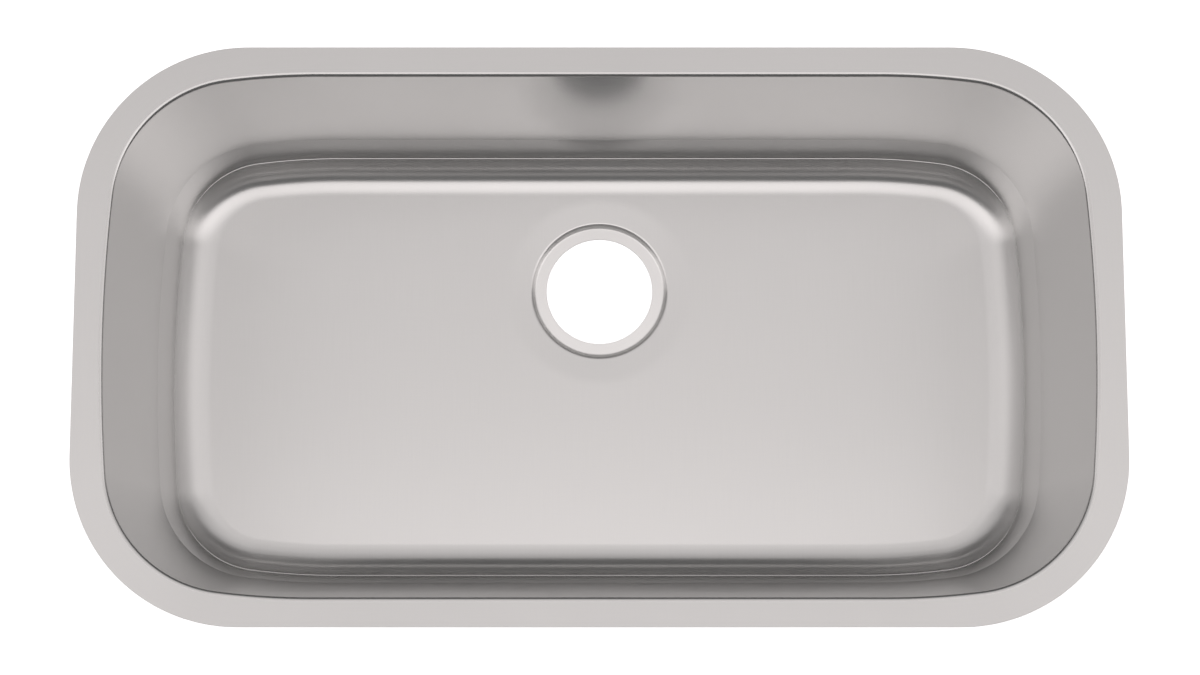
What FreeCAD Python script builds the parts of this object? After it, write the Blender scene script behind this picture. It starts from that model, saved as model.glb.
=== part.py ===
"""Undermount kitchen sink: one deep-drawn steel bowl and the rubber sound pads glued under it.

Millimetres. The origin is the centre of the rim's top face, +X runs along the long side, +Y to the
back, where the drain is, and +Z up. Everything hangs below Z = 0.
"""
import FreeCAD, Part
import math
import os

V = FreeCAD.Vector

# --- driving dimensions -----------------------------------------------------------------------------
sheet_thickness = 1.2        # 18 gauge stainless sheet

rim_length = 812.8           # flange, left to right, 32 in
rim_width = 452.8            # flange, front to back
rim_corner_radius = 131.0    # outer corners of the flange
rim_land = 22.8              # flat flange between its outer edge and the bowl
rim_bend_radius = 3.5        # visible radius where the flange turns down into the wall

opening_corner_radius = 100.0   # corner of the bowl's mouth
side_bow_angle = 4.9            # degrees that each end wall turns from its middle to the corner
ease_angle = 7.3                # degrees that the long walls turn before the corner starts
ease_reach = 164.0              # from the end wall to where a long wall starts to turn

upper_draft = 7.6            # degrees, wall above the draw line
lower_draft = 13.0           # degrees, wall below the draw line
draw_line_depth = 143.0      # where the second draw starts
floor_fillet_radius = 28.0   # inside radius between wall and floor

bowl_depth = 203.0           # rim face to the foot of the drain dish, 8 in
dish_fall = 1.2              # the floor dips by this much round the drain
dish_width = 20.0            # from the dish's edge to the recess

drain_back_margin = 4.1      # level floor left behind the dish, before the back wall turns up
drain_hole_radius = 45.0     # 3 1/2 in waste opening
recess_radius = 58.0         # edge of the recess that the strainer flange sits in
recess_depth = 3.6
recess_draft = 44.0          # degrees
recess_lip_radius = 3.0      # visible radius at the recess's upper edge
recess_root_radius = 2.0     # visible radius at the recess's foot

pad_thickness = 3.0          # rubber sound pads
pad_corner_radius = 18.0
floor_pad_gap = 12.0         # between neighbouring floor pads, and from them to the dish
floor_pad_margin = 14.0      # from the floor pads to where the floor turns up
wall_pad_top = 34.0          # from the rim face to the wall pads
wall_pad_height = 84.0
long_wall_pad_length = 330.0
end_wall_pad_length = 170.0

# --- derived values ---------------------------------------------------------------------------------
mouth_half_length = rim_length / 2 - rim_land
mouth_half_width = rim_width / 2 - rim_land
upper = math.radians(upper_draft)
lower = math.radians(lower_draft)
steel = sheet_thickness                      # growth from the inside face to the outside of the sheet
padded = steel + pad_thickness               # growth to the outside of the sound pads
floor_level = bowl_depth - dish_fall         # depth of the level floor
shelf_depth = bowl_depth + recess_depth      # depth of the recess's flat ring
dish_radius = recess_radius + dish_width
draw_line_inset = draw_line_depth * math.tan(upper)
floor_inset = draw_line_inset + (floor_level - draw_line_depth) * math.tan(lower)
turn_up_inset = floor_inset + floor_fillet_radius * math.tan((math.pi / 2 - lower) / 2)
drain_offset = mouth_half_width - turn_up_inset - drain_back_margin - dish_radius
overshoot = 20.0                             # how far cutting solids run past what they cut


# --- plan outline -----------------------------------------------------------------------------------
def arc(centre, radius, start, end, z):
    """Level arc edge from start to end, angles in radians anticlockwise from +X."""
    circle = Part.Circle(V(centre[0], centre[1], z), V(0, 0, 1), radius)
    return Part.ArcOfCircle(circle, start, end).toShape()


def corner_centre():
    """Centre of the back-right corner arc, shared by every level."""
    bow = math.tan(math.radians(side_bow_angle) / 2)
    ease = math.tan(math.radians(ease_angle) / 2)
    across = mouth_half_length - opening_corner_radius
    along = mouth_half_width - opening_corner_radius
    straight = mouth_half_length - ease_reach
    x = (across - bow * (along + ease * straight)) / (1 - bow * ease)
    y = along - ease * (x - straight)
    return x, y


def outline(inset, z):
    """Closed wire of the bowl's plan, drawn in by inset from its mouth: tangent arcs and two straights."""
    bow = math.radians(side_bow_angle)
    ease = math.radians(ease_angle)
    cx, cy = corner_centre()
    straight = mouth_half_length - ease_reach
    corner = opening_corner_radius - inset
    bow_radius = cy / math.sin(bow) + corner
    ease_radius = (cx - straight) / math.sin(ease) + corner
    half_width = mouth_half_width - inset
    bow_x = mouth_half_length - inset - bow_radius
    ease_y = half_width - ease_radius
    right = math.pi / 2
    turn = math.pi
    edges = [
        arc((bow_x, 0), bow_radius, -bow, bow, z),
        arc((cx, cy), corner, bow, right - ease, z),
        arc((straight, ease_y), ease_radius, right - ease, right, z),
        Part.LineSegment(V(straight, half_width, z), V(-straight, half_width, z)).toShape(),
        arc((-straight, ease_y), ease_radius, right, right + ease, z),
        arc((-cx, cy), corner, right + ease, turn - bow, z),
        arc((-bow_x, 0), bow_radius, turn - bow, turn + bow, z),
        arc((-cx, -cy), corner, turn + bow, turn + right - ease, z),
        arc((-straight, -ease_y), ease_radius, turn + right - ease, turn + right, z),
        Part.LineSegment(V(-straight, -half_width, z), V(straight, -half_width, z)).toShape(),
        arc((straight, -ease_y), ease_radius, turn + right, turn + right + ease, z),
        arc((cx, -cy), corner, turn + right + ease, 2 * turn - bow, z),
    ]
    return Part.Wire(edges)


def rounded_rectangle(x0, y0, x1, y1, radius, z=0):
    """Level face with rounded corners."""
    quarter = math.pi / 2
    centres = [(x1 - radius, y1 - radius), (x0 + radius, y1 - radius),
               (x0 + radius, y0 + radius), (x1 - radius, y0 + radius)]
    arcs = []
    for index, centre in enumerate(centres):
        arcs.append(arc(centre, radius, index * quarter, (index + 1) * quarter, z))
    edges = []
    for index, edge in enumerate(arcs):
        following = arcs[(index + 1) % len(arcs)]
        edges.append(edge)
        edges.append(Part.LineSegment(edge.Vertexes[-1].Point, following.Vertexes[0].Point).toShape())
    return Part.Face(Part.Wire(edges))


# --- sections of the sheet --------------------------------------------------------------------------
def grown(points, grow):
    """Points of a section in the XZ plane, moved square to its lines by grow, with mitred corners.

    The points run so that the outside of the sheet is on their right.
    """
    normals = []
    for start, end in zip(points, points[1:]):
        along = (end - start).normalize()
        normals.append(V(along.z, 0, -along.x))
    normals = [normals[0]] + normals + [normals[-1]]
    moved = []
    for point, before, after in zip(points, normals, normals[1:]):
        moved.append(point + (before + after) * (grow / (1 + before.dot(after))))
    return moved


def wall_section(grow):
    """Above the rim, the draw line and the floor's corner, with X as the inset from the mouth."""
    points = [
        V(-overshoot * math.tan(upper), 0, overshoot),
        V(draw_line_inset, 0, -draw_line_depth),
        V(floor_inset, 0, -floor_level),
        V(turn_up_inset, 0, -floor_level),
    ]
    return grown(points, grow)[:3]


def drain_section(grow):
    """The drain's axis, the recess's foot and lip and the dish's edge, with X as the radius."""
    foot_radius = recess_radius - recess_depth * math.tan(math.radians(recess_draft))
    points = [
        V(0, 0, -shelf_depth),
        V(foot_radius, 0, -shelf_depth),
        V(recess_radius, 0, -bowl_depth),
        V(dish_radius, 0, -floor_level),
        V(dish_radius + drain_back_margin, 0, -floor_level),
    ]
    return grown(points, grow)[:4]


def rounded_path(points, radii):
    """Edges of an open path of lines, with each of its first inner corners rounded to its radius."""
    edges = []
    start = points[0]
    for before, corner, after, radius in zip(points, points[1:], points[2:], radii):
        inward = (before - corner).normalize()
        outward = (after - corner).normalize()
        half = inward.getAngle(outward) / 2
        reach = radius / math.tan(half)
        middle = (inward + outward).normalize() * (radius / math.sin(half) - radius)
        first = corner + inward * reach
        last = corner + outward * reach
        edges.append(Part.LineSegment(start, first).toShape())
        edges.append(Part.Arc(first, corner + middle, last).toShape())
        start = last
    edges.append(Part.LineSegment(start, points[-1]).toShape())
    return edges


# --- bowl form --------------------------------------------------------------------------------------
def wall_forms(grow):
    """Two solid frustums, one inside each wall slope: above the draw line and below it."""
    top, line, floor = wall_section(grow)
    upper_form = Part.makeLoft([outline(top.x, top.z), outline(line.x, line.z)], True, True)
    lower_form = Part.makeLoft([outline(line.x, line.z), outline(floor.x, floor.z)], True, True)
    return upper_form, lower_form


def drain_form(grow):
    """Turned solid of the drain dish and its recess, with a core that stands in the bowl's space."""
    section = drain_section(grow)
    axis = section[0]
    edge = section[-1]
    top = floor_fillet_radius - floor_level
    edges = rounded_path(section, [recess_root_radius + grow, recess_lip_radius - grow])
    edges.append(Part.LineSegment(edge, V(edge.x, 0, top)).toShape())
    edges.append(Part.LineSegment(V(edge.x, 0, top), V(0, 0, top)).toShape())
    edges.append(Part.LineSegment(V(0, 0, top), axis).toShape())
    form = Part.Face(Part.Wire(edges)).revolve(V(0, 0, 0), V(0, 0, 1), 360)
    form.translate(V(0, drain_offset, 0))
    return form


def level_edges(shape, z):
    """Edges that lie at height z."""
    return [edge for edge in shape.Edges if all(abs(v.Z - z) < 0.01 for v in edge.Vertexes)]


def bowl_form(grow):
    """The bowl's space grown outwards by grow: two drafts, a large fillet, a level floor, the drain."""
    upper_form, lower_form = wall_forms(grow)
    walls = upper_form.fuse(lower_form)
    rounded = walls.makeFillet(floor_fillet_radius + grow, level_edges(walls, -floor_level - grow))
    return rounded.fuse(drain_form(grow)).removeSplitter()


# --- pieces -----------------------------------------------------------------------------------------
def mouth_edges(shape, z):
    """Edges at height z that lie round the bowl's mouth and not on the flange's outside."""
    found = []
    for edge in level_edges(shape, z):
        box = edge.BoundBox
        beside_x = rim_length / 2 - max(abs(box.XMin), abs(box.XMax))
        beside_y = rim_width / 2 - max(abs(box.YMin), abs(box.YMax))
        if min(beside_x, beside_y) > rim_land / 3:
            found.append(edge)
    return found


def bowl_shell():
    """The drawn sheet: flange, bend, two wall slopes, floor and drain recess, one thickness all over."""
    half_length = rim_length / 2
    half_width = rim_width / 2
    flange = rounded_rectangle(-half_length, -half_width, half_length, half_width, rim_corner_radius)
    below = Part.makeBox(rim_length, rim_width, 2 * bowl_depth, V(-half_length, -half_width, -2 * bowl_depth))
    outside = bowl_form(steel).common(below)
    shell = flange.extrude(V(0, 0, -steel)).fuse(outside).cut(bowl_form(0)).removeSplitter()
    hole = Part.makeCylinder(drain_hole_radius, 2 * overshoot, V(0, drain_offset, -shelf_depth - overshoot))
    shell = shell.cut(hole)
    shell = shell.makeFillet(rim_bend_radius, mouth_edges(shell, 0))
    return shell.makeFillet(rim_bend_radius - steel, mouth_edges(shell, -steel))


def floor_pad(x0, y0, x1, y1):
    """Pad glued under the level floor."""
    face = rounded_rectangle(x0, y0, x1, y1, pad_corner_radius, -floor_level - steel)
    return face.extrude(V(0, 0, -pad_thickness))


def floor_pads():
    """Left and right pads, and one between them in front of the drain."""
    end = mouth_half_length - turn_up_inset - floor_pad_margin
    side = mouth_half_width - turn_up_inset - floor_pad_margin
    near = dish_radius + floor_pad_gap
    front_half = near - floor_pad_gap
    return {
        "floor_pad_left": floor_pad(-end, -side, -near, side),
        "floor_pad_right": floor_pad(near, -side, end, side),
        "floor_pad_front": floor_pad(-front_half, -side, front_half, drain_offset - near),
    }


def wall_pad(length, turn):
    """Pad glued to the outside of one upper wall, which lies in the direction turn, in degrees from +X."""
    layer = wall_forms(padded)[0].cut(wall_forms(steel)[0])
    face = rounded_rectangle(-length / 2, -wall_pad_top - wall_pad_height, length / 2, -wall_pad_top,
                             pad_corner_radius)
    face.rotate(V(0, 0, 0), V(1, 0, 0), 90)
    block = face.extrude(V(0, -rim_length, 0))
    block.rotate(V(0, 0, 0), V(0, 0, 1), turn + 90)
    return layer.common(block)


def wall_pads():
    """One pad on each wall, above the draw line."""
    return {
        "wall_pad_front": wall_pad(long_wall_pad_length, -90),
        "wall_pad_back": wall_pad(long_wall_pad_length, 90),
        "wall_pad_left": wall_pad(end_wall_pad_length, 180),
        "wall_pad_right": wall_pad(end_wall_pad_length, 0),
    }


def main():
    os.makedirs("parts", exist_ok=True)
    pieces = {"bowl": bowl_shell()}
    pieces.update(floor_pads())
    pieces.update(wall_pads())
    for name, shape in pieces.items():
        solids = shape.Solids
        print(name, len(solids), "solid", round(shape.Volume / 1000, 1), "cm3", shape.isValid())
        solid = solids[0] if len(solids) == 1 else shape
        solid.exportStep("parts/" + name + ".step")


main()
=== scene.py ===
import math

import bmesh
import bpy
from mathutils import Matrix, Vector


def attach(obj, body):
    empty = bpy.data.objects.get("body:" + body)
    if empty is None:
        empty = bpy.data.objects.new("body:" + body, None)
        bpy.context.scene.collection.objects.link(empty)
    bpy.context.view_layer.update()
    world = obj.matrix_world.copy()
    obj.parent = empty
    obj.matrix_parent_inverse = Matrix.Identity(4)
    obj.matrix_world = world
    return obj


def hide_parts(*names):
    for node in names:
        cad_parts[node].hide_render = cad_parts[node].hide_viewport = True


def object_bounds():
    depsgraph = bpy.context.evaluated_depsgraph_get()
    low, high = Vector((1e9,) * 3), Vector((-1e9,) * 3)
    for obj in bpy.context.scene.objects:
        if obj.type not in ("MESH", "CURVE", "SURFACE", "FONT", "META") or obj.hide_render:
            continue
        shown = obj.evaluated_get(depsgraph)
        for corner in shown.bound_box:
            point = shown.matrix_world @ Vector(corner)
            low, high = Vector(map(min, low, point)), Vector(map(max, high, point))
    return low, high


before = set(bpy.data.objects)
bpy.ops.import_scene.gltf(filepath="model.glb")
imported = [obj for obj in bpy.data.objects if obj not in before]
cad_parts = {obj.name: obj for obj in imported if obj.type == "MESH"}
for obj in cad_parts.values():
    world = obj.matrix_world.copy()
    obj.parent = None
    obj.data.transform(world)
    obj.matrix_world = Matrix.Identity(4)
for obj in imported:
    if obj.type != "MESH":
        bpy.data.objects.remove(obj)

cad_low, cad_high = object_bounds()

# --- sizes in millimetres, as in the part's source --------------------------------------------------
MM = 0.001                             # the scene is in metres
STEEL = 1.2                            # thickness of the sheet
RIM_HALF_LENGTH = 406.4
RIM_HALF_WIDTH = 226.4
RIM_CORNER = 131.0                     # outer corners of the flange
RIM_LAND = 22.8                        # flange, from its edge in to the mouth
BEND = 3.5                             # turn from the flange down into the wall
CORNER = 100.0                         # corners of the mouth
EASE_REACH = 164.0                     # from the mouth's end to the long walls' straight middle
BOW = math.radians(4.9)                # half the turn of each bowed end
EASE = math.radians(7.3)               # turn of a long wall before its corner
UPPER = math.radians(7.6)              # draft of the upper wall
LOWER = math.radians(13.0)             # draft of the lower wall
DRAW_LINE = 143.0                      # depth where the two drafts meet
FILLET = 28.0                          # turn from the lower wall to the floor
BOWL_DEPTH = 203.0                     # depth at the drain recess
DISH_FALL = 1.2                        # fall of the dish round the recess
DISH_WIDTH = 20.0
BACK_MARGIN = 4.1                      # level floor between the dish and the back fillet
HOLE = 45.0                            # radius of the drain hole
RECESS = 58.0                          # radius of the drain recess
RECESS_DEPTH = 3.6
RECESS_DRAFT = math.radians(44.0)
LIP = 3.0                              # turn over the recess's edge
ROOT = 2.0                             # turn at the recess's foot
PAD = 3.0                              # thickness of the rubber pads
PAD_CORNER = 18.0
PAD_GAP = 12.0                         # between the floor pads, and from them to the dish
PAD_MARGIN = 14.0                      # from the floor pads to the fillet
WALL_PAD_TOP = 34.0                    # depth of the wall pads' upper edge
WALL_PAD_HEIGHT = 84.0
LONG_PAD = 330.0                       # length of the pads on the long walls
END_PAD = 170.0                        # length of the pads on the end walls

# --- fine sizes that only the finish needs ----------------------------------------------------------
EDGE = 0.25                            # broken edges of the sheet
DRAW_LINE_RADIUS = 5.0                 # soft turn along the draw line
DISH_RADIUS = 125.0                    # soft turn at the dish's edge
COAT_TOP = 14.0                        # bare steel left under the flange
COAT_RING = 9.0                        # bare steel left round the drain recess
PAD_EDGE = 0.8                         # rounded edges of the rubber pads
STEP = 0.6                             # width of the ledge that makes the witness line
STEP_FALL = 0.15                       # fall of that ledge over its width
STEP_RADIUS = 0.25                     # turns into it and out of it
STEP_CLEAR = 1.0                       # straight wall between it and the floor's fillet
STEP_AT_ENDS = 0.2                     # share of it left on the end walls
FADE_FROM, FADE_TO = 0.45, 0.95        # how far the wall faces front or back where it fades

# --- how finely the shapes are divided --------------------------------------------------------------
BOW_PARTS, CORNER_PARTS, EASE_PARTS, STRAIGHT_PARTS = 18, 56, 14, 32      # a quarter of the mouth
BEND_PARTS, DRAW_LINE_PARTS, STEP_PARTS, FILLET_PARTS = 8, 4, 4, 26       # turns down the wall
DISH_PARTS, LIP_PARTS, ROOT_PARTS = 6, 7, 7                               # turns round the drain
EDGE_PARTS = 3
PAD_CORNER_PARTS, PAD_EDGE_PARTS, PAD_FACE_PARTS = 8, 5, 6
LONGEST = 14.0                         # longest step down a straight wall
PAD_SPACING = 8.0                      # longest step along a pad's outline
FLANGE_SHARES = (0.2, 0.4, 0.6, 0.8, 1.0)                                 # way in across the land
FLOOR_SHARES = (0.0, 0.06, 0.14, 0.24, 0.36, 0.5, 0.64, 0.78, 0.9, 1.0)   # way from fillet to dish
PARALLEL = 1e-9                        # a normal's part below this counts as none
SLACK = 1e-6                           # rounding allowed where the flange's edge turns
WELD = 0.2                             # pad points nearer than this become one

# --- derived sizes ----------------------------------------------------------------------------------
HALF_LENGTH = RIM_HALF_LENGTH - RIM_LAND
HALF_WIDTH = RIM_HALF_WIDTH - RIM_LAND
FLOOR = BOWL_DEPTH - DISH_FALL
SHELF = BOWL_DEPTH + RECESS_DEPTH
DISH = RECESS + DISH_WIDTH
LINE_INSET = DRAW_LINE * math.tan(UPPER)
FLOOR_INSET = LINE_INSET + (FLOOR - DRAW_LINE) * math.tan(LOWER)
TURN_UP = FLOOR_INSET + FILLET * math.tan((math.pi / 2 - LOWER) / 2)
DRAIN_Y = HALF_WIDTH - TURN_UP - BACK_MARGIN - DISH
FOOT = RECESS - RECESS_DEPTH * math.tan(RECESS_DRAFT)
STRAIGHT = HALF_LENGTH - EASE_REACH    # half of each long wall's straight middle
WALL_PAD_MIDDLE = WALL_PAD_TOP + WALL_PAD_HEIGHT / 2


# --- plan of the mouth ------------------------------------------------------------------------------
def corner_centre():
    """Centre of the back-right corner arc."""
    bow, ease = math.tan(BOW / 2), math.tan(EASE / 2)
    across, along = HALF_LENGTH - CORNER, HALF_WIDTH - CORNER
    x = (across - bow * (along + ease * STRAIGHT)) / (1 - bow * ease)
    return x, along - ease * (x - STRAIGHT)


CORNER_X, CORNER_Y = corner_centre()
BOW_RADIUS = CORNER_Y / math.sin(BOW) + CORNER
EASE_RADIUS = (CORNER_X - STRAIGHT) / math.sin(EASE) + CORNER


def swept(x, y, radius, start, end, count):
    """Points along an arc, its end left out, each with its outward normal."""
    points = []
    for i in range(count):
        a = start + (end - start) * i / count
        nx, ny = math.cos(a), math.sin(a)
        points.append((x + radius * nx, y + radius * ny, nx, ny))
    return points


def mouth_columns():
    """Points round the mouth, anticlockwise from the right end, each with its outward normal."""
    right = math.pi / 2
    quarter = swept(HALF_LENGTH - BOW_RADIUS, 0, BOW_RADIUS, 0, BOW, BOW_PARTS)
    quarter += swept(CORNER_X, CORNER_Y, CORNER, BOW, right - EASE, CORNER_PARTS)
    quarter += swept(STRAIGHT, HALF_WIDTH - EASE_RADIUS, EASE_RADIUS, right - EASE, right, EASE_PARTS)
    for i in range(STRAIGHT_PARTS):
        quarter.append((STRAIGHT * (1 - i / STRAIGHT_PARTS), HALF_WIDTH, 0.0, 1.0))
    back = [(0.0, HALF_WIDTH, 0.0, 1.0)]
    ring = list(quarter)
    ring += [(-x, y, -nx, ny) for x, y, nx, ny in back + quarter[:0:-1]]
    ring += [(-x, -y, -nx, -ny) for x, y, nx, ny in quarter]
    ring += [(x, -y, nx, -ny) for x, y, nx, ny in back + quarter[:0:-1]]
    return ring


def distances(ring):
    """Distance along a closed ring to each of its points, and the whole way round."""
    runs, run = [0.0], 0.0
    for a, b in zip(ring, ring[1:] + ring[:1]):
        run += math.hypot(b[0] - a[0], b[1] - a[1])
        runs.append(run)
    return runs[:-1], runs[-1]


def rim_reach(x, y, nx, ny):
    """Distance from a mouth point, along its normal, to the flange's rounded outer edge."""
    best = 2 * RIM_LAND + RIM_CORNER
    cx, cy = RIM_HALF_LENGTH - RIM_CORNER, RIM_HALF_WIDTH - RIM_CORNER
    sx, sy = (1 if nx >= 0 else -1), (1 if ny >= 0 else -1)
    if abs(nx) > PARALLEL:
        t = (sx * RIM_HALF_LENGTH - x) / nx
        if abs(y + t * ny) <= cy:
            best = min(best, t)
    if abs(ny) > PARALLEL:
        t = (sy * RIM_HALF_WIDTH - y) / ny
        if abs(x + t * nx) <= cx:
            best = min(best, t)
    dx, dy = x - sx * cx, y - sy * cy
    b, c = dx * nx + dy * ny, dx * dx + dy * dy - RIM_CORNER ** 2
    if b * b >= c:
        t = -b + math.sqrt(b * b - c)
        if (x + t * nx) * sx >= cx - SLACK and (y + t * ny) * sy >= cy - SLACK:
            best = min(best, t)
    return best


COLUMNS = mouth_columns()
COUNT = len(COLUMNS)
RUNS, AROUND = distances(COLUMNS)
AROUND_DRAIN = 2 * math.pi * RECESS
REACHES = [rim_reach(*column) for column in COLUMNS]


# --- section of the sheet ---------------------------------------------------------------------------
def grown(points, grow):
    """Section points moved square to their lines by grow, to the right of the way they run."""
    normals = []
    for (x0, z0), (x1, z1) in zip(points, points[1:]):
        size = math.hypot(x1 - x0, z1 - z0)
        normals.append(((z1 - z0) / size, -(x1 - x0) / size))
    normals = [normals[0]] + normals + [normals[-1]]
    moved = []
    for (x, z), a, b in zip(points, normals, normals[1:]):
        k = grow / (1 + a[0] * b[0] + a[1] * b[1])
        moved.append((x + (a[0] + b[0]) * k, z + (a[1] + b[1]) * k))
    return moved


def turned_by(direction, angle):
    """A direction of the section, turned anticlockwise."""
    c, s = math.cos(angle), math.sin(angle)
    return Vector((direction.x * c - direction.y * s, direction.x * s + direction.y * c))


def rounded(points, radii, parts):
    """Rows (x, z, normal x, normal z) of each rounded inner corner of a section, a list per corner.

    The normals point to the left of the way the section runs.
    """
    corners = []
    for before, corner, after, radius, count in zip(points, points[1:], points[2:], radii, parts):
        a = Vector(corner) - Vector(before)
        b = Vector(after) - Vector(corner)
        a.normalize()
        b.normalize()
        turn = math.atan2(a.x * b.y - a.y * b.x, a.dot(b))
        side = math.copysign(1, turn)
        start = Vector(corner) - a * radius * math.tan(abs(turn) / 2)
        centre = start + Vector((-a.y, a.x)) * side * radius
        rows = []
        for i in range(count + 1):
            along = turned_by(a, turn * i / count)
            left = Vector((-along.y, along.x))
            place = centre - left * side * radius
            rows.append((place.x, place.y, left.x, left.y))
        corners.append(rows)
    return corners


def row_between(a, b, t):
    """Row at the share t of the way from one row to the next."""
    x, z, nx, nz = [p + (q - p) * t for p, q in zip(a, b)]
    size = math.hypot(nx, nz)
    return x, z, nx / size, nz / size


def filled(rows):
    """The same section with more rows on its long straight runs."""
    out = [rows[0]]
    for a, b in zip(rows, rows[1:]):
        parts = max(1, math.ceil(math.hypot(b[0] - a[0], b[1] - a[1]) / LONGEST))
        out += [row_between(a, b, i / parts) for i in range(1, parts + 1)]
    return out


def split_at(rows, part, value):
    """The rows on each side of the place where their part (0 for x, 1 for z) passes value."""
    for i, (a, b) in enumerate(zip(rows, rows[1:])):
        if (a[part] - value) * (b[part] - value) < 0:
            cut = row_between(a, b, (value - a[part]) / (b[part] - a[part]))
            return rows[:i + 1] + [cut], [cut] + rows[i + 1:]
    raise ValueError("the section never passes %g" % value)


def wall_sections(grow):
    """Rows down the wall and rows round the floor's fillet: x is the inset from the mouth."""
    line = [(-RIM_LAND / 2, 0.0), (0.0, 0.0), (LINE_INSET, -DRAW_LINE), (FLOOR_INSET, -FLOOR),
            (TURN_UP + FILLET, -FLOOR)]
    radii = [BEND - grow, DRAW_LINE_RADIUS + grow, FILLET + grow]
    parts = [BEND_PARTS, DRAW_LINE_PARTS, FILLET_PARTS]
    bend, draw_line, fillet = rounded(grown(line, grow), radii, parts)
    return filled(bend + draw_line + fillet[:1]), fillet


def stepped(wall, share):
    """The wall's rows with the witness line's ledge near their foot.

    The wall above the ledge is drawn back to make room for it, and share scales both.
    """
    last = Vector(wall[-1][:2])
    along = last - Vector(wall[-2][:2])
    foot = last - along.normalized() * STEP_CLEAR
    head = foot + Vector((-STEP, STEP_FALL)) * share
    rows = [row for row in wall if row[1] > foot.y + STEP_FALL + STEP_RADIUS]
    above = Vector(rows[-1][:2])
    radii, parts = [STEP_RADIUS * share] * 2, [STEP_PARTS] * 2
    inner, outer = rounded([above, head, foot, last], radii, parts)
    return rows + inner + outer + wall[-1:]


def drain_section(grow):
    """Rows from the dish's edge to the drain hole: x is the radius."""
    line = [(HOLE, -SHELF), (FOOT, -SHELF), (RECESS, -BOWL_DEPTH), (DISH, -FLOOR), (2 * DISH, -FLOOR)]
    radii = [ROOT + grow, LIP - grow, DISH_RADIUS]
    parts = [ROOT_PARTS, LIP_PARTS, DISH_PARTS]
    root, lip, dish = rounded(grown(line, grow), radii, parts)
    shelf = (HOLE + EDGE, root[0][1], root[0][2], root[0][3])
    return filled([shelf] + root + lip + dish)[::-1]


# --- rings of the drawn sheet: each is a list of (point, normal, grain map) -------------------------
# facing is 1 on the inside of the bowl and -1 on its outside
def edge_rows():
    """Quarter round of a broken edge, from its side to its face: back, drop, outward, upward."""
    rows = []
    for i in range(EDGE_PARTS + 1):
        a = math.pi / 2 * i / EDGE_PARTS
        rows.append((EDGE * (1 - math.cos(a)), EDGE * (1 - math.sin(a)), math.cos(a), math.sin(a)))
    return rows


def flange_rings(grow, facing, bend_start):
    """The flange's broken edge and its flat land, in to where it starts to bend down."""
    rings = []
    for back, drop, out, up in edge_rows():
        z = -grow - facing * drop
        ring = []
        for (x, y, nx, ny), reach, run in zip(COLUMNS, REACHES, RUNS):
            r = reach - back
            ring.append(((x + nx * r, y + ny * r, z), (nx * out, ny * out, facing * up), (-r, run)))
        rings.append(ring)
    for share in FLANGE_SHARES:
        ring = []
        for (x, y, nx, ny), reach, run in zip(COLUMNS, REACHES, RUNS):
            r = (reach - EDGE) * (1 - share) + bend_start * share
            ring.append(((x + nx * r, y + ny * r, -grow), (0, 0, facing), (-r, run)))
        rings.append(ring)
    return rings


def wall_rings(rows, facing, depth=0.0, end_rows=None):
    """Rings down the wall; depth is the distance down the section to the first of them.

    end_rows is the section at the two ends, where it isn't the same as on the long walls.
    """
    rings = []
    for i, (row, end_row) in enumerate(zip(rows, end_rows or rows)):
        if i:
            depth += math.hypot(row[0] - rows[i - 1][0], row[1] - rows[i - 1][1])
        ring = []
        for (x, y, nx, ny), run in zip(COLUMNS, RUNS):
            long_wall = min(max((abs(ny) - FADE_FROM) / (FADE_TO - FADE_FROM), 0.0), 1.0)
            inset, z, px, pz = row_between(end_row, row, long_wall)
            ring.append(((x - nx * inset, y - ny * inset, z),
                         (-nx * px * facing, -ny * px * facing, pz * facing), (depth, run)))
        rings.append(ring)
    return rings


def fillet_rings(rows, facing, radius):
    """Rings round the floor's fillet, with the floor's flat grain map rolled up onto it."""
    foot = rows[-1][0]
    rings = []
    for i, (inset, z, px, pz) in enumerate(rows):
        rise = radius * (math.pi / 2 - LOWER) * (len(rows) - 1 - i) / (len(rows) - 1)
        ring = []
        for x, y, nx, ny in COLUMNS:
            ring.append(((x - nx * inset, y - ny * inset, z),
                         (-nx * px * facing, -ny * px * facing, pz * facing),
                         (x - nx * (foot - rise), y - ny * (foot - rise))))
        rings.append(ring)
    return rings


def drain_angles():
    """Angle of each column round the drain's axis, always growing."""
    angles = []
    for x, y, nx, ny in COLUMNS:
        a = math.atan2(y - ny * TURN_UP - DRAIN_Y, x - nx * TURN_UP)
        while angles and a < angles[-1]:
            a += 2 * math.pi
        angles.append(a)
    return angles


ANGLES = drain_angles()


def floor_rings(foot, dish, z, facing):
    """Level rings from the fillet's foot in to the dish's edge, a circle."""
    rings = []
    for share in FLOOR_SHARES:
        ring = []
        for (x, y, nx, ny), a in zip(COLUMNS, ANGLES):
            x, y = x - nx * foot, y - ny * foot
            x += (dish * math.cos(a) - x) * share
            y += (DRAIN_Y + dish * math.sin(a) - y) * share
            ring.append(((x, y, z), (0, 0, facing), (x, y)))
        rings.append(ring)
    return rings


def drain_rings(rows, facing, turned=True):
    """Rings round the drain, with a turned grain or with the floor's flat one."""
    rings, depth = [], 0.0
    for i, (radius, z, px, pz) in enumerate(rows):
        if i:
            depth += math.hypot(radius - rows[i - 1][0], z - rows[i - 1][1])
        ring = []
        for a in ANGLES:
            c, s = math.cos(a), math.sin(a)
            x, y = radius * c, DRAIN_Y + radius * s
            ring.append(((x, y, z), (px * c * facing, px * s * facing, pz * facing),
                         (depth, a * RECESS) if turned else (x, y)))
        rings.append(ring)
    return rings


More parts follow.
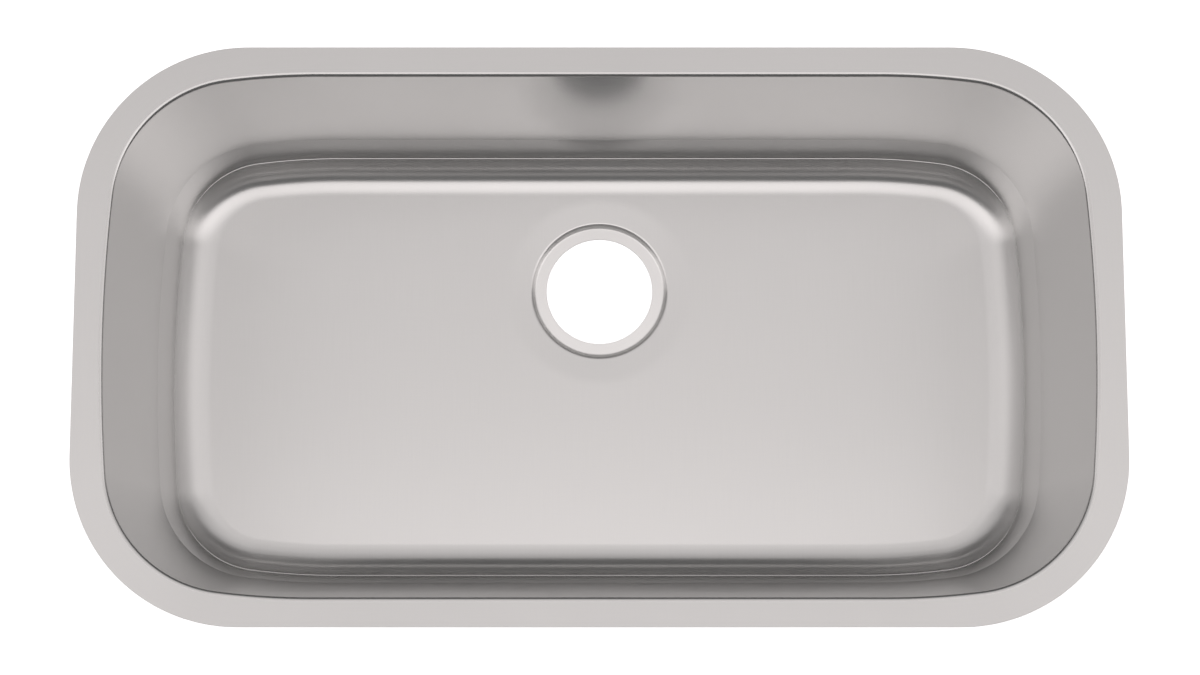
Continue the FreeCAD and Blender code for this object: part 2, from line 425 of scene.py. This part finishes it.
def hole_rings(z, facing):
    """The drain hole's broken edge, from the face down to the side of the hole."""
    rings = []
    for back, drop, out, up in edge_rows()[::-1]:
        ring = []
        for a in ANGLES:
            c, s = math.cos(a), math.sin(a)
            ring.append((((HOLE + back) * c, DRAIN_Y + (HOLE + back) * s, z - facing * drop),
                         (-c * out, -s * out, facing * up), (-back, a * RECESS)))
        rings.append(ring)
    return rings


# --- the drawn sheet --------------------------------------------------------------------------------
WALLS, LAND, FLAT, TURNED, COAT = range(5)          # material slots


def inside_bands():
    """Bands (slot, rings, length of the grain map round them) of the bowl's inside, rim to hole."""
    wall, fillet = wall_sections(0.0)
    drain = drain_section(0.0)
    dish, recess = split_at(drain, 0, RECESS - LIP / 2)
    long_walls, end_walls = stepped(wall, 1.0), stepped(wall, STEP_AT_ENDS)
    return [
        (LAND, flange_rings(0.0, 1, -wall[0][0]), AROUND),
        (WALLS, wall_rings(long_walls, 1, end_rows=end_walls), AROUND),
        (FLAT, fillet_rings(fillet, 1, FILLET), 0.0),
        (FLAT, floor_rings(fillet[-1][0], drain[0][0], -FLOOR, 1), 0.0),
        (FLAT, drain_rings(dish, 1, turned=False), 0.0),
        (TURNED, drain_rings(recess, 1), AROUND_DRAIN),
        (TURNED, hole_rings(drain[-1][1], 1), AROUND_DRAIN),
    ]


def outside_bands():
    """The same bands of the bowl's outside, where a sprayed coat covers all but its two ends."""
    wall, fillet = wall_sections(STEEL)
    drain = drain_section(STEEL)
    bare, coated = split_at(wall, 1, -COAT_TOP)
    dish, ring = split_at(drain, 0, RECESS + COAT_RING)
    return [
        (LAND, flange_rings(STEEL, -1, -wall[0][0]), AROUND),
        (WALLS, wall_rings(bare, -1), AROUND),
        (COAT, wall_rings(coated, -1, COAT_TOP), AROUND),
        (COAT, fillet_rings(fillet, -1, FILLET + STEEL), 0.0),
        (COAT, floor_rings(fillet[-1][0], drain[0][0], -FLOOR - STEEL, -1), 0.0),
        (COAT, drain_rings(dish, -1), AROUND_DRAIN),
        (TURNED, drain_rings(ring, -1), AROUND_DRAIN),
        (TURNED, hole_rings(drain[-1][1], -1), AROUND_DRAIN),
    ]


def sheet_bands():
    """All bands of the sheet in one closed round: in at the rim, out at the hole and back to the rim."""
    inside = inside_bands()
    outside = [(slot, rings[::-1], around) for slot, rings, around in outside_bands()[::-1]]
    hole_side = (TURNED, [inside[-1][1][-1], outside[0][1][0]], AROUND_DRAIN)
    rim_side = (LAND, [outside[-1][1][-1], inside[0][1][0]], AROUND)
    return inside + [hole_side] + outside + [rim_side]


def build_bowl():
    """Closed mesh of the whole sheet, whose normals come from the section."""
    verts, normals, faces, slots, maps = [], [], [], [], []

    def add(ring):
        verts.extend(Vector(point) * MM for point, _, _ in ring)
        normals.extend(Vector(normal).normalized() for _, normal, _ in ring)
        return len(verts) - COUNT

    bands = sheet_bands()
    first = previous = add(bands[0][1][0])
    for index, (slot, rings, around) in enumerate(bands):
        last_band = index == len(bands) - 1
        for above, below in zip(rings, rings[1:]):
            following = first if last_band and below is rings[-1] else add(below)
            for j in range(COUNT):
                k = (j + 1) % COUNT
                seam = around if k == 0 else 0.0
                faces.append((previous + j, previous + k, following + k, following + j))
                slots.append(slot)
                corners = ((above, j, 0.0), (above, k, seam), (below, k, seam), (below, j, 0.0))
                for ring, column, more in corners:
                    u, v = ring[column][2]
                    maps.extend((u * MM, (v + more) * MM))
            previous = following
    mesh = bpy.data.meshes.new("bowl_sheet")
    mesh.from_pydata(verts, [], faces)
    mesh.uv_layers.new(name="grain").data.foreach_set("uv", maps)
    mesh.polygons.foreach_set("material_index", slots)
    mesh.polygons.foreach_set("use_smooth", [True] * len(faces))
    mesh.normals_split_custom_set_from_vertices([tuple(n) for n in normals])
    mesh.update()
    return mesh


# --- rubber pads ------------------------------------------------------------------------------------
def pad_outline(half_u, half_v, inset):
    """Points round a rounded rectangle about the origin, drawn in by inset."""
    radius = PAD_CORNER - inset
    cu, cv = half_u - PAD_CORNER, half_v - PAD_CORNER
    points = []
    for turn, (su, sv) in enumerate(((1, 1), (-1, 1), (-1, -1), (1, -1))):
        for i in range(PAD_CORNER_PARTS + 1):
            a = math.pi / 2 * (turn + i / PAD_CORNER_PARTS)
            points.append(Vector((su * cu + radius * math.cos(a), sv * cv + radius * math.sin(a))))
    out = []
    for a, b in zip(points, points[1:] + points[:1]):
        parts = max(1, math.ceil((b - a).length / PAD_SPACING))
        out += [a.lerp(b, i / parts) for i in range(parts)]
    return out


def pad_mesh(name, half_u, half_v, place):
    """Closed pad with rounded edges; place(u, v, height) is the point at that height off the steel."""
    bm = bmesh.new()
    spine_u, spine_v = max(half_u - half_v, 0.0), max(half_v - half_u, 0.0)

    def ring(inset, height, share=0.0):
        """One ring of the pad, drawn in by share of the way to its spine."""
        verts = []
        for p in pad_outline(half_u, half_v, inset):
            spine = Vector((min(max(p.x, -spine_u), spine_u), min(max(p.y, -spine_v), spine_v)))
            q = p.lerp(spine, share)
            verts.append(bm.verts.new(Vector(place(q.x, q.y, height)) * MM))
        return verts

    rings = [ring(0.0, 0.0, 1 - i / PAD_FACE_PARTS) for i in range(PAD_FACE_PARTS + 1)]
    for i in range(PAD_EDGE_PARTS + 1):
        a = math.pi / 2 * i / PAD_EDGE_PARTS
        rings.append(ring(PAD_EDGE * (1 - math.cos(a)), PAD - PAD_EDGE * (1 - math.sin(a))))
    rings += [ring(PAD_EDGE, PAD, i / PAD_FACE_PARTS) for i in range(1, PAD_FACE_PARTS + 1)]
    for lower, upper in zip(rings, rings[1:]):
        for j in range(len(lower)):
            k = (j + 1) % len(lower)
            bm.faces.new((lower[j], lower[k], upper[k], upper[j]))
    bmesh.ops.remove_doubles(bm, verts=bm.verts, dist=WELD * MM)
    bmesh.ops.recalc_face_normals(bm, faces=bm.faces)
    for face in bm.faces:
        face.smooth = True
    mesh = bpy.data.meshes.new(name)
    bm.to_mesh(mesh)
    bm.free()
    return mesh


def on_floor(cx, cy):
    """Placing of a pad under the floor, about this centre."""
    def place(u, v, height):
        return cx + u, cy + v, -FLOOR - STEEL - height
    return place


def on_long_wall(side):
    """Placing of a pad on the front (-1) or back (1) wall: u runs along it and v up it."""
    def place(u, v, height):
        z = v - WALL_PAD_MIDDLE
        off = (STEEL + height) / math.cos(UPPER)
        return u, side * (HALF_WIDTH + z * math.tan(UPPER) + off), z
    return place


def on_end_wall(side):
    """Placing of a pad on the left (-1) or right (1) wall, which bows a little."""
    def place(u, v, height):
        z = v - WALL_PAD_MIDDLE
        off = (STEEL + height) / math.cos(UPPER)
        radius = BOW_RADIUS + z * math.tan(UPPER) + off
        return side * (HALF_LENGTH - BOW_RADIUS + math.sqrt(radius ** 2 - u ** 2)), u, z
    return place


def floor_pads():
    """Name, half sizes and placing of the pads under the floor."""
    end = HALF_LENGTH - TURN_UP - PAD_MARGIN
    side = HALF_WIDTH - TURN_UP - PAD_MARGIN
    near = DISH + PAD_GAP
    boxes = {
        "floor_pad_left": (-end, -side, -near, side),
        "floor_pad_right": (near, -side, end, side),
        "floor_pad_front": (-DISH, -side, DISH, DRAIN_Y - near),
    }
    for name, (x0, y0, x1, y1) in boxes.items():
        yield name, (x1 - x0) / 2, (y1 - y0) / 2, on_floor((x0 + x1) / 2, (y0 + y1) / 2)


def wall_pads():
    """Name, half sizes and placing of the pads on the walls."""
    high = WALL_PAD_HEIGHT / 2
    yield "wall_pad_front", LONG_PAD / 2, high, on_long_wall(-1)
    yield "wall_pad_back", LONG_PAD / 2, high, on_long_wall(1)
    yield "wall_pad_left", END_PAD / 2, high, on_end_wall(-1)
    yield "wall_pad_right", END_PAD / 2, high, on_end_wall(1)


# --- node helpers -----------------------------------------------------------------------------------
GRAIN_MAP = "grain"
MIX_FACTOR, MIX_LOW, MIX_HIGH, MIX_RESULT = 0, 6, 7, 2      # colour sockets of the Mix node
NOISE_LOW, NOISE_HIGH = 0.3, 0.7       # nearly all of a noise lies between these


def new_material(name):
    """A node material, with its tree and its shader."""
    material = bpy.data.materials.new(name)
    material.use_nodes = True
    tree = material.node_tree
    return material, tree, tree.nodes["Principled BSDF"]


def noise(tree, vector, scale, detail, roughness):
    """Noise from 0 to 1; scale counts its grains in a metre."""
    node = tree.nodes.new("ShaderNodeTexNoise")
    node.inputs["Scale"].default_value = scale
    node.inputs["Detail"].default_value = detail
    node.inputs["Roughness"].default_value = roughness
    tree.links.new(vector, node.inputs["Vector"])
    return node.outputs["Fac"]


def ramp(tree, value, low, high, out_low, out_high):
    """The value, taken from one range to another and held inside it."""
    node = tree.nodes.new("ShaderNodeMapRange")
    node.inputs["From Min"].default_value = low
    node.inputs["From Max"].default_value = high
    node.inputs["To Min"].default_value = out_low
    node.inputs["To Max"].default_value = out_high
    tree.links.new(value, node.inputs["Value"])
    return node.outputs["Result"]


def graded(tree, value, out_low, out_high):
    """A noise spread over the range from out_low to out_high."""
    return ramp(tree, value, NOISE_LOW, NOISE_HIGH, out_low, out_high)


def stretched(tree, vector, scale):
    """The coordinates, scaled apart along each axis."""
    node = tree.nodes.new("ShaderNodeMapping")
    node.inputs["Scale"].default_value = scale
    tree.links.new(vector, node.inputs["Vector"])
    return node.outputs["Vector"]


def mixed(tree, factor, low, high):
    """Colour between two others."""
    node = tree.nodes.new("ShaderNodeMix")
    node.data_type = "RGBA"
    node.inputs[MIX_LOW].default_value = (*low, 1)
    node.inputs[MIX_HIGH].default_value = (*high, 1)
    tree.links.new(factor, node.inputs[MIX_FACTOR])
    return node.outputs[MIX_RESULT]


def maths(tree, kind, a, b):
    """A sum or product of two values, each a number or a socket."""
    node = tree.nodes.new("ShaderNodeMath")
    node.operation = kind
    for socket, value in zip(node.inputs, (a, b)):
        if isinstance(value, (int, float)):
            socket.default_value = value
        else:
            tree.links.new(value, socket)
    return node.outputs[0]


def relief(tree, shader, height, strength, distance):
    """Fine relief of the surface; distance is in metres."""
    node = tree.nodes.new("ShaderNodeBump")
    node.inputs["Strength"].default_value = strength
    node.inputs["Distance"].default_value = distance
    tree.links.new(height, node.inputs["Height"])
    tree.links.new(node.outputs["Normal"], shader.inputs["Normal"])


# --- materials --------------------------------------------------------------------------------------
STEEL_LOW, STEEL_HIGH = (0.684, 0.680, 0.676), (0.704, 0.700, 0.696)
STREAK_ACROSS, STREAK_ALONG = 1100.0, 22.0      # streaks in a metre, across and along the grain
CROSSED = 0.35                         # share of streaks that lie the other way
SHEEN_SPREAD = 0.015                   # how far the roughness varies up and down
COAT_LOW, COAT_HIGH = (0.2, 0.2, 0.2), (0.27, 0.268, 0.262)
COAT_ROUGHNESS = (0.7, 0.92)
RUBBER_LOW, RUBBER_HIGH = (0.018, 0.018, 0.019), (0.05, 0.049, 0.048)
RUBBER_ROUGHNESS = (0.62, 0.8)
BLOOM_FROM, BLOOM_FULL = 0.35, 0.75    # noise where the rubber's dusty bloom starts and is full


def brushed(name, roughness, anisotropy, painted_shading=1.0):
    """Satin stainless whose grain lies along V of the grain map; the shine spreads across it, along U.

    tone makes the steel lighter or darker.
    """
    material, tree, shader = new_material(name)
    uv = tree.nodes.new("ShaderNodeUVMap")
    uv.uv_map = GRAIN_MAP
    with_grain = stretched(tree, uv.outputs["UV"], (STREAK_ACROSS, STREAK_ALONG, 1))
    grain = noise(tree, with_grain, scale=1.0, detail=4.0, roughness=0.6)
    over_grain = stretched(tree, uv.outputs["UV"], (STREAK_ALONG, STREAK_ACROSS, 1))
    counter = noise(tree, over_grain, scale=1.0, detail=3.0, roughness=0.6)
    main, cross = maths(tree, "MULTIPLY", grain, 1 - CROSSED), maths(tree, "MULTIPLY", counter, CROSSED)
    fine = maths(tree, "ADD", main, cross)
    where = tree.nodes.new("ShaderNodeTexCoord").outputs["Object"]
    cloud = noise(tree, where, scale=7.0, detail=3.0, roughness=0.5)
    # painted shade and light: the steel's two colours scaled by the last argument
    low, high = ([c * painted_shading for c in steel] for steel in (STEEL_LOW, STEEL_HIGH))
    tree.links.new(mixed(tree, graded(tree, fine, 0.0, 1.0), low, high), shader.inputs["Base Color"])
    level = maths(tree, "ADD", graded(tree, fine, roughness - SHEEN_SPREAD, roughness + SHEEN_SPREAD),
                  graded(tree, cloud, -SHEEN_SPREAD, SHEEN_SPREAD))
    tree.links.new(level, shader.inputs["Roughness"])
    shader.inputs["Metallic"].default_value = 1.0
    shader.inputs["Anisotropic"].default_value = anisotropy
    tangent = tree.nodes.new("ShaderNodeTangent")
    tangent.direction_type = "UV_MAP"
    tangent.uv_map = GRAIN_MAP
    tree.links.new(tangent.outputs["Tangent"], shader.inputs["Tangent"])
    relief(tree, shader, fine, strength=0.06, distance=0.00001)
    return material


def undercoat():
    """Sprayed grey coat: rough, finely pebbled, with a little overspray variation."""
    material, tree, shader = new_material("sprayed_undercoat")
    where = tree.nodes.new("ShaderNodeTexCoord").outputs["Object"]
    pebble = noise(tree, where, scale=900.0, detail=3.0, roughness=0.6)
    patch = noise(tree, where, scale=14.0, detail=4.0, roughness=0.6)
    colour = mixed(tree, graded(tree, patch, 0.0, 1.0), COAT_LOW, COAT_HIGH)
    tree.links.new(colour, shader.inputs["Base Color"])
    tree.links.new(graded(tree, pebble, *COAT_ROUGHNESS), shader.inputs["Roughness"])
    relief(tree, shader, pebble, strength=0.5, distance=0.0004)
    return material


def rubber():
    """Matt black pad with a fine calendered texture and a dusty bloom."""
    material, tree, shader = new_material("sound_pad_rubber")
    where = tree.nodes.new("ShaderNodeTexCoord").outputs["Object"]
    grain = noise(tree, where, scale=1400.0, detail=2.0, roughness=0.6)
    bloom = noise(tree, where, scale=22.0, detail=5.0, roughness=0.65)
    dust = ramp(tree, bloom, BLOOM_FROM, BLOOM_FULL, 0.0, 1.0)
    tree.links.new(mixed(tree, dust, RUBBER_LOW, RUBBER_HIGH), shader.inputs["Base Color"])
    tree.links.new(graded(tree, bloom, *RUBBER_ROUGHNESS), shader.inputs["Roughness"])
    relief(tree, shader, grain, strength=0.35, distance=0.0002)
    return material


# --- make the object --------------------------------------------------------------------------------
def show(name, mesh, materials, node):
    """Puts a piece in the scene in place of a node of the frame."""
    piece = bpy.data.objects.new(name, mesh)
    bpy.context.scene.collection.objects.link(piece)
    for material in materials:
        mesh.materials.append(material)
    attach(piece, "root")
    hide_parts(node)


finishes = [                           # in the order of the material slots
    # the walls' steel darkened to 0.9 of its colour: painted shade
    brushed("brushed_walls_painted_shade", roughness=0.21, anisotropy=0.0, painted_shading=0.9),
    brushed("brushed_flange", roughness=0.54, anisotropy=0.3),
    brushed("brushed_floor", roughness=0.32, anisotropy=0.85),
    # the drain ring's steel lightened to 1.2 of its colour: a painted highlight
    brushed("turned_drain_painted_highlight", roughness=0.36, anisotropy=0.6, painted_shading=1.2),
    undercoat(),
]
show("bowl_sheet", build_bowl(), finishes, "bowl")

black = rubber()
for name, half_u, half_v, place in list(floor_pads()) + list(wall_pads()):
    show(name + "_rubber", pad_mesh(name, half_u, half_v, place), [black], name)


# --- stage, in metres -------------------------------------------------------------------------------
STAGE_HALF = 14.0
STAGE_DROP = 0.0002                    # floor just clear of the sink's lowest point
FLOOR_TONE, FLOOR_ROUGHNESS = 0.85, 0.9
FLOOR_GLOW = 0.8
SURROUNDINGS = 0.15                    # dim room that the steel mirrors beside the soft lights
BACKDROP = 0.97                        # the same room as the camera sees it
WHITE = (1, 1, 1, 1)

pale, _, shader = new_material("pale_floor")
shader.inputs["Base Color"].default_value = (FLOOR_TONE, FLOOR_TONE, FLOOR_TONE, 1)
shader.inputs["Roughness"].default_value = FLOOR_ROUGHNESS
shader.inputs["Emission Color"].default_value = WHITE
shader.inputs["Emission Strength"].default_value = FLOOR_GLOW
ground_z = cad_low.z - STAGE_DROP
ground_corners = [(x * STAGE_HALF, y * STAGE_HALF, ground_z)
                  for x, y in ((-1, -1), (1, -1), (1, 1), (-1, 1))]
ground = bpy.data.meshes.new("stage_floor")
ground.from_pydata(ground_corners, [], [(0, 1, 2, 3)])
ground.materials.append(pale)
stage_floor = bpy.data.objects.new("stage_floor", ground)
stage_floor.visible_glossy = False      # the steel mirrors the dim room under its drain, not the floor
bpy.context.scene.collection.objects.link(stage_floor)

world = bpy.data.worlds.new("studio")
bpy.context.scene.world = world
world.use_nodes = True
tree = world.node_tree
seen = tree.nodes.new("ShaderNodeLightPath").outputs["Is Camera Ray"]
background = tree.nodes["Background"]
tree.links.new(ramp(tree, seen, 0.0, 1.0, SURROUNDINGS, BACKDROP), background.inputs["Strength"])
background.inputs["Color"].default_value = WHITE

# --- lights -----------------------------------------------------------------------------------------
LIGHT_HEIGHT = 2.6
LAYER_GAP = 0.01                       # lights at one height would hide each other from mirrored rays
LIGHT_TINT = (1.0, 0.955, 0.945)
SOFT_LIGHTS = [                        # name, left, right, front and back edges in degrees, radiance
    ("overhead", -79, 79, -40, 58, 0.44),
    ("overhead_near", -79, 79, -40, 23, 0.07),
    ("overhead_middle", -20.5, 20.5, -40, 41, 0.24),
    ("overhead_left_end", -79, -29, -40, 23, 0.33),
    ("overhead_right_end", 29, 79, -40, 23, 0.33),
    ("overhead_front", -79, 79, -40, 2.5, 0.28),
    ("overhead_front_left", -60, -12, -40, -8, 0.18),
    ("overhead_front_right", 12, 60, -40, -8, 0.18),
    ("overhead_right", 15, 79, -40, 58, 0.04),
]


def soft_light(name, height, left, right, front, back, radiance):
    """Soft light overhead; its edges lie in these directions from the bowl, in degrees from upright."""
    x0, x1, y0, y1 = (height * math.tan(math.radians(a)) for a in (left, right, front, back))
    light = bpy.data.lights.new(name, "AREA")
    light.shape = "RECTANGLE"
    light.size = x1 - x0
    light.size_y = y1 - y0
    light.energy = radiance * light.size * light.size_y * math.pi
    light.color = LIGHT_TINT
    lamp = bpy.data.objects.new(name, light)
    lamp.location = ((x0 + x1) / 2, (y0 + y1) / 2, height)
    lamp.visible_camera = False
    bpy.context.scene.collection.objects.link(lamp)


for layer, (name, *edges_and_radiance) in enumerate(SOFT_LIGHTS):
    soft_light(name, LIGHT_HEIGHT + layer * LAYER_GAP, *edges_and_radiance)

# --- camera, fitted to the photograph ---------------------------------------------------------------
TILT = math.radians(8.5)               # off straight down, from the front
DISTANCE = 2.034
TARGET = Vector((0.00047, -0.00387, 0.0))
SENSOR_WIDTH, FOCAL_LENGTH = 36.0, 79.05      # millimetres
FAR_CLIP = 100.0

lens = bpy.data.cameras.new("camera")
lens.sensor_width = SENSOR_WIDTH
lens.lens = FOCAL_LENGTH
lens.clip_end = FAR_CLIP
camera = bpy.data.objects.new("camera", lens)
camera.location = TARGET + Vector((0, -math.sin(TILT), math.cos(TILT))) * DISTANCE
camera.rotation_euler = (TILT, 0, 0)
bpy.context.scene.collection.objects.link(camera)
bpy.context.scene.camera = camera
bpy.context.scene.view_settings.view_transform = "Standard"
bpy.context.scene.view_settings.look = "None"
